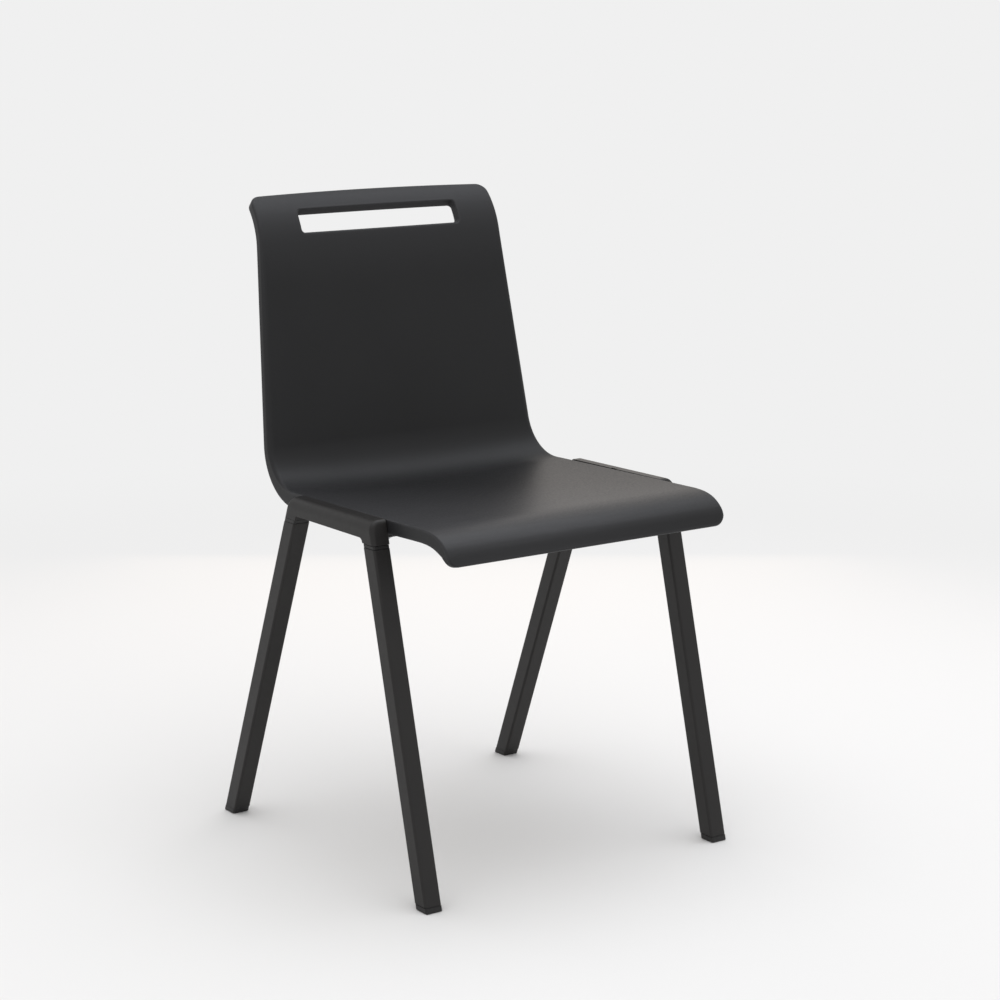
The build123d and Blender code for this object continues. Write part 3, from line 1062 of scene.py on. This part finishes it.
class Ring(Enum):
    """The shape of one level of a screw."""

    ROUND = "round"
    HEX = "hex"

    def radius(self, size: float, angle: float) -> float:
        """Finds how far the ring lies from the screw's axis.

        Args:
            size: A circle's radius, or half a hexagon's width across its flats.
            angle: The direction from the axis, in radians.

        Returns:
            The distance from the axis.
        """
        if self is Ring.ROUND:
            return size
        side = pi / 3
        return size / cos((angle + side / 2) % side - side / 2)


@dataclass
class ScrewGroup:
    """A group of like screws with hexagon sockets, which stands for one node of the frame."""

    node: str
    places: list[tuple[Vector, Vector]]
    outline: list[tuple[Ring, float, float]]
    material: bpy.types.Material
    sides: int = 36
    sharp_angle: float = 30.0

    def build(self) -> bpy.types.Object:
        """Builds the screws and dresses them.

        Returns:
            One object with all the screws of the group.
        """
        mesh = bpy.data.meshes.new(self.node + "_socket_head")
        builder = bmesh.new()
        for seat, axis in self.places:
            turn = Vector((0, 0, 1)).rotation_difference(axis).to_matrix().to_4x4()
            place = Matrix.Translation(seat) @ turn
            loops = []
            for ring, size, height in self.outline:
                angles = [tau * k / self.sides for k in range(self.sides)]
                reach = [ring.radius(size, angle) * MM for angle in angles]
                loops.append([
                    builder.verts.new(place @ Vector((r * cos(a), r * sin(a), height * MM)))
                    for r, a in zip(reach, angles)
                ])
            join_levels(builder, loops, ring=False)
        builder.to_mesh(mesh)
        builder.free()
        group = link_mesh(self.node + "_socket_head", mesh)
        mesh.materials.append(self.material)
        smooth(group, self.sharp_angle)
        stand_for(group, self.node)
        log.info("%s: %d screws", group.name, len(self.places))
        return group


@dataclass
class LegFitting:
    """A moulded collar or glide: square levels stacked up a leg's raked axis, in millimetres.

    Each level is a height over the fitting's foot, a width and a corner radius. A ring joins its last
    level to its first one, and any other fitting is closed at both ends.
    """

    node: str
    slot: str
    rake: float
    levels: list[Level]
    ring: bool
    material: bpy.types.Material
    corner_steps: int = 5
    sharp_angle: float = 30.0

    def build(self) -> bpy.types.Object:
        """Builds the fitting where its node stands and dresses it.

        Returns:
            The fitting.
        """
        low, high = (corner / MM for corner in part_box(self.node))
        middle = (low + high) / 2
        lean, deeper = tan(radians(self.rake)), 1 / cos(radians(self.rake))
        name = self.node + "_moulded"
        builder = bmesh.new()
        loops = []
        for height, width, corner in self.levels:
            y = middle.y + (low.z + height - middle.z) * lean
            straight = width / 2 - corner
            loop = []
            for quarter, (way_x, way_y) in enumerate(QUARTERS):
                for step in range(self.corner_steps + 1):
                    angle = (quarter + step / self.corner_steps) * pi / 2
                    across = way_x * straight + corner * cos(angle)
                    along = (way_y * straight + corner * sin(angle)) * deeper
                    point = Vector((middle.x + across, y + along, low.z + height)) * MM
                    loop.append(builder.verts.new(point))
            loops.append(loop)
        join_levels(builder, loops, self.ring)
        mesh = bpy.data.meshes.new(name)
        builder.to_mesh(mesh)
        builder.free()
        fitting = link_mesh(name, mesh)
        mesh.materials.append(self.material)
        smooth(fitting, self.sharp_angle)
        stand_for(fitting, self.node)
        log.info("%s: %d faces", name, len(mesh.polygons))
        return fitting


@dataclass
class Frame:
    """The rails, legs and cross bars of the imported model, dressed, with the screws that join them."""

    rail_finish: PowderCoat = PowderCoat("aluminium_cast_powder_coated")
    leg_finish: PowderCoat = PowderCoat("steel_tube_powder_coated")
    bar_finish: PowderCoat = PowderCoat("steel_flat_powder_coated")
    collar_finish: MouldedNylon = MouldedNylon("nylon_moulded_collar")
    glide_finish: MouldedNylon = MouldedNylon("nylon_moulded_glide")
    screw_finish: PlatedMetal = PlatedMetal("steel_zinc_plated", "#c4c7c9", "#9a9da0")
    insert_finish: PlatedMetal = PlatedMetal("brass_turned", "#c9a352", "#9c7b3a", 0.28)
    thread_radius: float = 2.5
    tip_ease: float = 0.6
    head_radius: float = 4.75
    head_height: float = 2.8
    head_dome: tuple[Span, ...] = ((1.0, 0.25), (0.93, 0.6), (0.75, 0.88), (0.52, 1.0))
    flush_radius: float = 5.0
    flush_land: float = 0.55
    socket_half: float = 1.5
    socket_depth: float = 1.9
    socket_flare: float = 1.08
    head_flare_depth: float = 0.168
    flush_flare_depth: float = 0.15
    leg_screw_length: float = 13.0
    bar_screw_pitch: float = 16.0
    rakes: dict[str, float] = field(default_factory=lambda: {"front": 14.2, "rear": -21.6})
    tube: float = 24.0
    tube_corner: float = 3.0
    bore: float = 20.4
    bore_corner: float = 1.2
    fit_gap: float = 0.15
    collar_inset: float = 0.3
    seams: dict[str, float] = field(default_factory=lambda: {"front": 0.9, "rear": 0.4})
    seam_depth: float = 1.0
    foot_ease: float = 1.0
    foot_middle: float = 0.3

    def dress(self, zinc: bpy.types.Material) -> None:
        """Gives each node of the frame that stays its material.

        Args:
            zinc: The plated steel of the screws and washers.
        """
        materials = {
            "_side_rail": self.rail_finish.material(),
            "_leg": self.leg_finish.material(),
            "_cross_bar": self.bar_finish.material(),
            "shell_washers": zinc,
            "shell_inserts": self.insert_finish.material(),
        }
        for ending, material in materials.items():
            for name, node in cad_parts.items():
                if name.endswith(ending):
                    node.data.materials.clear()
                    node.data.materials.append(material)
                    log.info("%s: %s", name, material.name)

    def thread(self, length: float, top: float) -> list[tuple[Ring, float, float]]:
        """Lists the levels of a screw's thread.

        Args:
            length: How far the tip lies under the head's seat.
            top: Height of the thread's upper end over that seat.

        Returns:
            Ring, size and height of each level, from the eased tip up.
        """
        return [
            (Ring.ROUND, self.thread_radius - self.tip_ease, -length),
            (Ring.ROUND, self.thread_radius, self.tip_ease - length),
            (Ring.ROUND, self.thread_radius, top),
        ]

    def button_head(self, length: float) -> list[tuple[Ring, float, float]]:
        """Lists the levels of a button head screw.

        Args:
            length: How far the tip lies under the head's seat.

        Returns:
            Ring, size and height of each level, from the tip to the foot of the socket.
        """
        head, high, socket = self.head_radius, self.head_height, self.socket_half
        return [
            *self.thread(length, 0.0),
            (Ring.ROUND, head, 0.0),
            *((Ring.ROUND, across * head, up * high) for across, up in self.head_dome),
            (Ring.HEX, self.socket_flare * socket, high),
            (Ring.HEX, socket, high - self.head_flare_depth),
            (Ring.HEX, socket, high - self.socket_depth),
        ]

    def flush_head(self, length: float) -> list[tuple[Ring, float, float]]:
        """Lists the levels of a countersunk screw.

        Args:
            length: How far the tip lies under the head's face.

        Returns:
            Ring, size and height of each level, from the tip to the foot of the socket.
        """
        cone = self.flush_radius - self.thread_radius
        return [
            *self.thread(length, -cone),
            (Ring.ROUND, self.flush_radius, 0.0),
            (Ring.ROUND, self.flush_land * self.flush_radius, 0.0),
            (Ring.HEX, self.socket_flare * self.socket_half, 0.0),
            (Ring.HEX, self.socket_half, -self.flush_flare_depth),
            (Ring.HEX, self.socket_half, -self.socket_depth),
        ]

    def screws(self, zinc: bpy.types.Material) -> list[ScrewGroup]:
        """Lays out the three groups of screws inside the boxes of their nodes.

        Args:
            zinc: The plated steel of the screws.

        Returns:
            The groups.
        """
        down = Vector((0, 0, -1))
        low, high = (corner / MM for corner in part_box("shell_screws"))
        reach = self.head_radius
        ys = (low.y + reach, (low.y + high.y) / 2, high.y - reach)
        seat = low.z + self.head_height
        shell_places = [
            (Vector((x, y, seat)) * MM, down)
            for x in (low.x + reach, high.x - reach) for y in ys
        ]
        shell_length = high.z - seat
        low, high = (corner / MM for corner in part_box("cross_bar_screws"))
        reach = self.flush_radius
        outer = high.x - reach
        xs = [side * x for side in (-1, 1) for x in (outer - self.bar_screw_pitch, outer)]
        bar_places = [
            (Vector((x, y, low.z)) * MM, down)
            for x in xs for y in (low.y + reach, high.y - reach)
        ]
        bar_length = high.z - low.z
        low, high = (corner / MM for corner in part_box("leg_screws"))
        reach, face = self.head_radius, high.x - self.leg_screw_length
        middle = (low.z + high.z) / 2
        leg_places = [
            (Vector((side * face, y, middle)) * MM, Vector((-side, 0, 0)))
            for side in (-1, 1) for y in (low.y + reach, high.y - reach)
        ]
        return [
            ScrewGroup("shell_screws", shell_places, self.button_head(shell_length), zinc),
            ScrewGroup("cross_bar_screws", bar_places, self.flush_head(bar_length), zinc),
            ScrewGroup("leg_screws", leg_places, self.button_head(self.leg_screw_length), zinc),
        ]

    def collar_levels(self, height: float, seam: float) -> list[Level]:
        """Lists the levels of a collar, a ring with a fine groove at each joint.

        Args:
            height: The collar's height.
            seam: Height of each groove.

        Returns:
            Height, width and corner radius of each level.
        """
        outer = self.tube - 2 * self.collar_inset
        waist = outer - 2 * self.seam_depth
        corner = self.tube_corner - self.collar_inset
        waist_corner = corner - self.seam_depth
        top_seam = height - seam
        return [
            (0.0, self.bore, self.bore_corner),
            (0.0, waist, waist_corner),
            (seam, waist, waist_corner),
            (seam, outer, corner),
            (top_seam, outer, corner),
            (top_seam, waist, waist_corner),
            (height, waist, waist_corner),
            (height, self.bore, self.bore_corner),
        ][::-1]

    def glide_levels(self, height: float, foot: float, seam: float) -> list[Level]:
        """Lists the levels of a glide: an eased foot, a fine groove, and the plug inside the tube.

        Args:
            height: Height of the whole glide.
            foot: Height of its foot, up to the tube's end.
            seam: Height of the groove under the tube.

        Returns:
            Height, width and corner radius of each level.
        """
        ease, corner = self.foot_ease, self.tube_corner
        part = self.foot_middle * ease
        waist = self.tube - 2 * self.seam_depth
        plug = self.bore - 2 * self.fit_gap
        return [
            (0.0, self.tube - 2 * ease, corner - ease),
            (part, self.tube - 2 * part, corner - part),
            (ease, self.tube, corner),
            (foot - seam, self.tube, corner),
            (foot - seam, waist, corner - self.seam_depth),
            (foot, waist, corner - self.seam_depth),
            (foot, plug, self.bore_corner),
            (height, plug, self.bore_corner),
        ]

    def fittings(self) -> list[LegFitting]:
        """The collars and glides of the four legs.

        Returns:
            The fittings, each over its own node.
        """
        collar_nylon, glide_nylon = self.collar_finish.material(), self.glide_finish.material()
        fittings = []
        for end, rake in self.rakes.items():
            for hand in ("right", "left"):
                collar, glide = f"{end}_{hand}_collar", f"{end}_{hand}_glide"
                low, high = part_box(collar)
                levels = self.collar_levels((high.z - low.z) / MM, self.seams[end])
                fittings.append(LegFitting(collar, "collar_plastic", rake, levels, True, collar_nylon))
                low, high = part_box(glide)
                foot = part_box(f"{end}_{hand}_leg")[0].z / MM
                levels = self.glide_levels((high.z - low.z) / MM, foot, self.seams[end])
                fittings.append(LegFitting(glide, "glide_plastic", rake, levels, False, glide_nylon))
        return fittings

    def build(self) -> None:
        """Dresses the frame and builds its fittings and screws."""
        zinc = self.screw_finish.material()
        self.dress(zinc)
        for piece in (*self.fittings(), *self.screws(zinc)):
            piece.build()


@dataclass(frozen=True)
class Softbox:
    """A square soft light aimed at the chair, in metres and watts."""

    name: str
    size: float
    place: tuple[float, float, float]
    watts: float
    shade: str = "#ffffff"
    aim: tuple[float, float, float] = (0.0, 0.0, 0.5)

    def build(self) -> None:
        """Hangs the light, unseen by the camera."""
        lamp = bpy.data.lights.new(self.name, "AREA")
        lamp.shape = "SQUARE"
        lamp.size = self.size
        lamp.energy = self.watts
        lamp.color = linear(self.shade)[:3]
        softbox = bpy.data.objects.new(self.name, lamp)
        softbox.location = self.place
        line = Vector(self.aim) - Vector(self.place)
        softbox.rotation_euler = line.to_track_quat("-Z", "Y").to_euler()
        softbox.visible_camera = False
        bpy.context.scene.collection.objects.link(softbox)


@dataclass
class Studio:
    """A pale floor, soft light and the photograph's camera, in metres."""

    paper: str = "#f0f0f0"
    floor_shade: str = "#eae9e8"
    floor_half: float = 60.0
    floor_drop: float = 0.0005
    fade_from: float = 1.2
    fade_to: float = 2.6
    camera_place: tuple[float, float, float] = (-1.8706, -2.6776, 1.1176)
    camera_azimuth: float = -35.53
    camera_pitch: float = 11.70
    lens_px: float = 2581.8
    photo_px: float = 1000.0
    sensor_mm: float = 36.0
    softboxes: tuple[Softbox, ...] = (
        Softbox("top_softbox", size=2.6, place=(-0.15, -0.2, 2.7), watts=23.0, shade="#f8fbff"),
        Softbox("right_softbox", size=1.5, place=(1.15, 0.1, 2.4), watts=7.5, shade="#f0f5ff"),
        Softbox("rear_card", size=1.4, place=(0.87, 1.22, 0.75), watts=1.6, shade="#ffe2c4"),
    )

    def world(self) -> None:
        """Surrounds the chair with plain pale light."""
        world = bpy.data.worlds.new("white_studio")
        bpy.context.scene.world = world
        world.use_nodes = True
        tree = world.node_tree
        tree.nodes.clear()
        sky = add(tree, "ShaderNodeBackground", {"Color": linear(self.paper), "Strength": 1.0})
        add(tree, "ShaderNodeOutputWorld", {"Surface": sky.outputs[0]})

    def floor(self) -> None:
        """Lays a plain pale floor that fades into the background."""
        half = self.floor_half
        mesh = bpy.data.meshes.new("floor")
        corners = [(-half, -half), (half, -half), (half, half), (-half, half)]
        mesh.from_pydata([(x, y, -self.floor_drop) for x, y in corners], [], [(0, 1, 2, 3)])
        floor = link_mesh("floor", mesh)
        material, tree = new_material("paper_matte")
        place = add(tree, "ShaderNodeTexCoord").outputs["Object"]
        radius = add(tree, "ShaderNodeVectorMath", {0: place}, operation="LENGTH")
        far = add(tree, "ShaderNodeMapRange", {
            "Value": radius.outputs["Value"], "From Min": self.fade_from, "From Max": self.fade_to},
            interpolation_type="SMOOTHSTEP")
        ray = add(tree, "ShaderNodeLightPath")
        mirrored = add(tree, "ShaderNodeMath", {
            0: ray.outputs["Is Glossy Ray"], 1: ray.outputs["Is Transmission Ray"]}, operation="MAXIMUM")
        seen = add(tree, "ShaderNodeMath", {
            0: ray.outputs["Is Camera Ray"], 1: mirrored.outputs[0]}, operation="MAXIMUM")
        faded = add(tree, "ShaderNodeMath", {
            0: far.outputs["Result"], 1: seen.outputs[0]}, operation="MULTIPLY")
        matte = add(tree, "ShaderNodeBsdfDiffuse", {"Color": linear(self.floor_shade)})
        plain = add(tree, "ShaderNodeEmission", {"Color": linear(self.paper)})
        mixed = add(tree, "ShaderNodeMixShader", {
            0: faded.outputs[0], 1: matte.outputs[0], 2: plain.outputs[0]})
        finish_surface(tree, mixed)
        mesh.materials.append(material)

    def camera(self) -> None:
        """Sets the camera at the photograph's view."""
        lens = bpy.data.cameras.new("photo_camera")
        lens.sensor_width = self.sensor_mm
        lens.lens = self.lens_px / self.photo_px * self.sensor_mm
        camera = bpy.data.objects.new("photo_camera", lens)
        camera.location = self.camera_place
        camera.rotation_euler = (radians(90 - self.camera_pitch), 0.0, radians(self.camera_azimuth))
        bpy.context.scene.collection.objects.link(camera)
        bpy.context.scene.camera = camera

    def build(self) -> None:
        """Sets the scene round the chair."""
        self.world()
        self.floor()
        for softbox in self.softboxes:
            softbox.build()
        self.camera()


def main() -> None:
    """Builds and dresses each piece in order, then lights the chair."""
    logging.basicConfig(level=logging.INFO, format="%(name)s: %(message)s")
    bpy.context.scene.view_settings.view_transform = "Standard"
    SeatShell().build()
    Frame().build()
    Studio().build()


if __name__ == "__main__":
    main()
